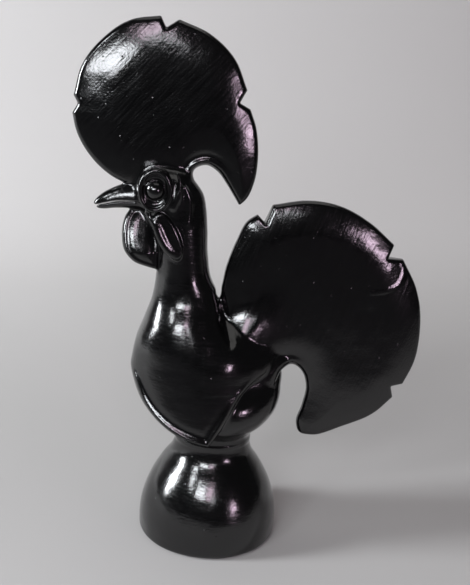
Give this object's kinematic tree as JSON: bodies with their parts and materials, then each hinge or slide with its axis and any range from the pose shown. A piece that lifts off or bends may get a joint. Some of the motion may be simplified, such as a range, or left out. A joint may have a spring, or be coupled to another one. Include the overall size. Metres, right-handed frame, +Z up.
{
  "type": "rooster figurine",
  "caption": "Free-standing hollow clay rooster on an open bell foot, with toothed comb, flared tail, raised eyes and heart-shaped sides, lacquered black; a folk ornament",
  "frame": {"origin": "the centre of the flat ring that the foot rests on", "axes": "+Z is up; the beak points along -X and the tail along +X; the rooster's own left side faces -Y, its right side +Y"},
  "size_m": [0.1398, 0.056, 0.2],
  "materials": {
    "black_lacquer": "fired clay under brushed gloss black lacquer",
    "raw_clay": "bare fired red clay, inside only"
  },
  "bodies": {
    "root": {"foot": "black_lacquer", "waist_coil": "raw_clay", "body_left": "black_lacquer", "body_right": "black_lacquer", "seam_strip": "raw_clay", "comb": "black_lacquer", "tail": "black_lacquer", "beak_upper": "black_lacquer", "beak_lower": "black_lacquer", "wattle": "black_lacquer", "eye_ring_left": "black_lacquer", "eye_ring_right": "black_lacquer", "eye_left": "black_lacquer", "eye_right": "black_lacquer", "ear_lobe_left": "black_lacquer", "ear_lobe_right": "black_lacquer"}
  },
  "joints": []
}
